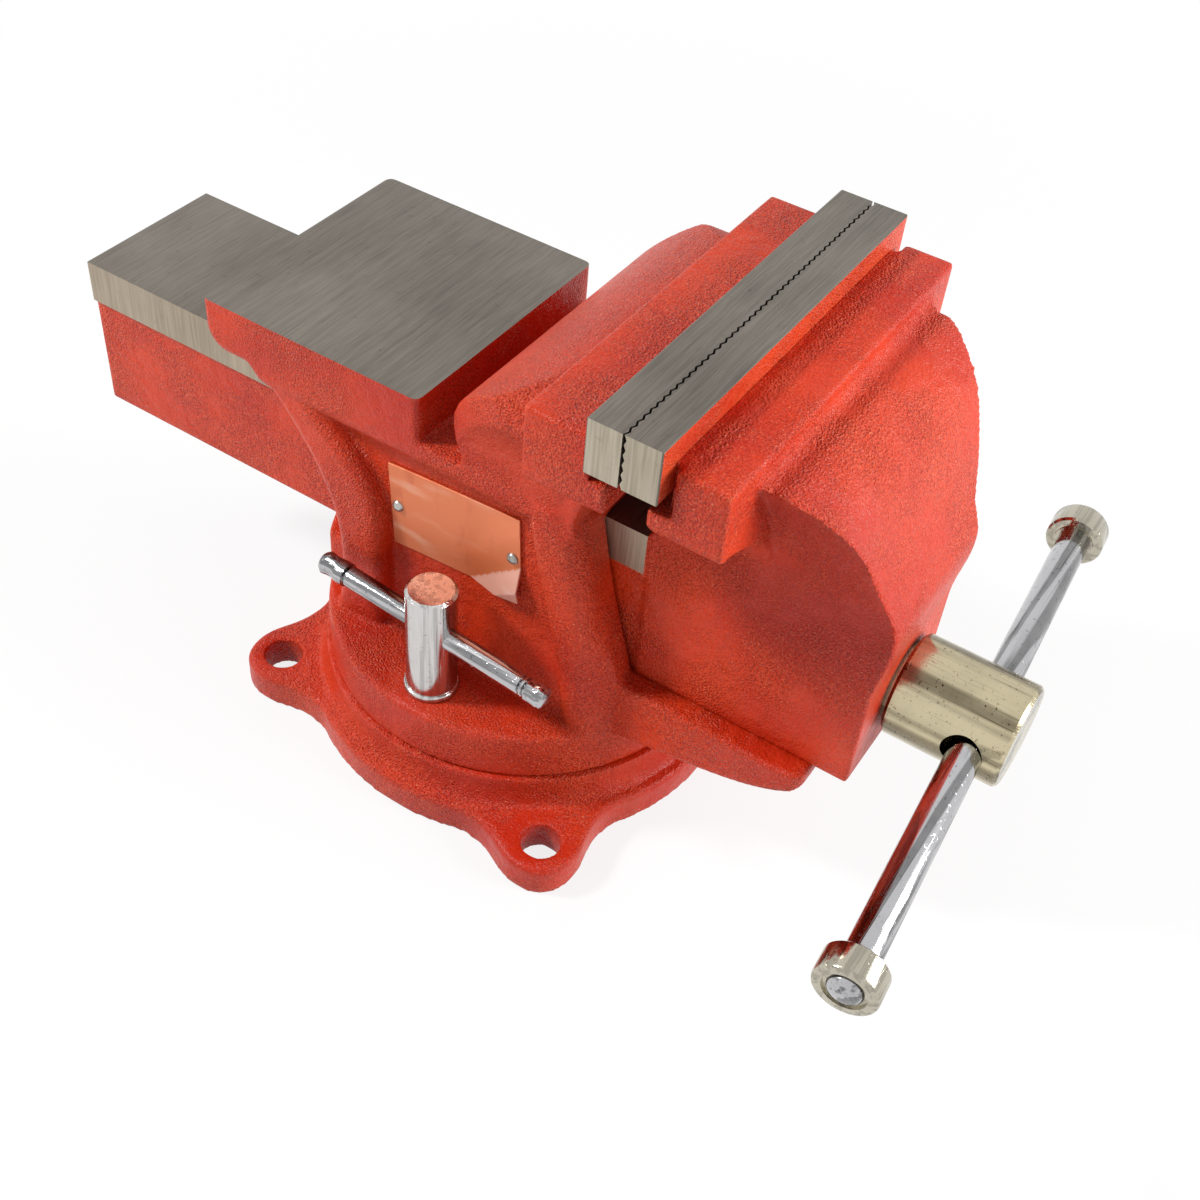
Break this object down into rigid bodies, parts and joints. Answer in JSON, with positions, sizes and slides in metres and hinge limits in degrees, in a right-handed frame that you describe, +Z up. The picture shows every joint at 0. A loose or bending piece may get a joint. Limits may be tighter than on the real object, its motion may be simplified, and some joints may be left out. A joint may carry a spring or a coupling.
{
  "type": "engineers vise",
  "caption": "Bench vise on a swivel base, with an anvil, steel jaw plates, a sliding jaw on a hollow slide bar and swivel locks with cross bars.",
  "frame": {"origin": "swivel axis where the base's underside meets the bench", "axes": "+Z up, jaws along X, slide along Y with the handle end toward -Y and the anvil toward +Y"},
  "size_m": [0.2286, 0.374, 0.2065],
  "materials": {
    "red_paint": "orange-red paint over cast iron, semi-gloss, slightly rough",
    "ground_steel": "ground steel with fine grain",
    "dark_steel": "plain dark steel",
    "nickel": "warm nickel plate",
    "chrome": "bright chrome plate",
    "raw_iron": "bare cast iron",
    "copper_plate": "bare copper-orange sheet, satin"
  },
  "bodies": {
    "base": {"swivel_base": "red_paint"},
    "body": {"vise_body": "red_paint", "fixed_jaw_plate": "ground_steel", "fixed_jaw_screws": "dark_steel", "screw_nut": "raw_iron", "nut_bolt": "dark_steel", "lock_washers": "chrome", "t_nuts": "dark_steel", "name_plate": "copper_plate", "name_plate_rivets": "ground_steel"},
    "slide": {"sliding_jaw": "red_paint", "moving_jaw_plate": "ground_steel", "moving_jaw_screws": "dark_steel"},
    "screw": {"lead_screw": "nickel", "thrust_washer": "dark_steel", "split_pin": "dark_steel"},
    "handle": {"handle_bar": "chrome", "handle_cap_far": "chrome", "handle_cap_near": "chrome"},
    "lock_near": {"lock_screw_near": "chrome"},
    "lock_far": {"lock_screw_far": "chrome"},
    "bar_near": {"lock_bar_near": "chrome"},
    "bar_far": {"lock_bar_far": "chrome"}
  },
  "joints": [
    {"name": "swivel", "type": "hinge", "parent": "base", "child": "body", "pos_m": [0, 0, 0.0254], "axis": [0, 0, 1], "continuous": true},
    {"name": "jaw_slide", "type": "slide", "parent": "body", "child": "slide", "axis": [0, -1, 0], "range_m": [0, 0.15]},
    {"name": "screw_turn", "type": "hinge", "parent": "slide", "child": "screw", "pos_m": [0, -0.16, 0.0922], "axis": [0, -1, 0], "range_deg": [0, 9000.5]},
    {"name": "handle_slide", "type": "slide", "parent": "screw", "child": "handle", "axis": [0.9976, 0.0698, 0], "range_m": [-0.0798, 0.0862]},
    {"name": "lock_turn_near", "type": "hinge", "parent": "body", "child": "lock_near", "pos_m": [-0.0597, 0, 0.06], "axis": [0, 0, 1], "range_deg": [-2, 6]},
    {"name": "lock_turn_far", "type": "hinge", "parent": "body", "child": "lock_far", "pos_m": [0.0597, 0, 0.06], "axis": [0, 0, 1], "range_deg": [-6, 2]},
    {"name": "lock_bar_slide_near", "type": "slide", "parent": "lock_near", "child": "bar_near", "axis": [0.0698, 0.9976, 0], "range_m": [-0.027, 0.031]},
    {"name": "lock_bar_slide_far", "type": "slide", "parent": "lock_far", "child": "bar_far", "axis": [-0.0698, 0.9976, 0], "range_m": [-0.027, 0.031]}
  ],
  "couplings": [
    {"joint": "screw_turn", "follows": "jaw_slide", "rad_per_m": 1047.2}
  ]
}
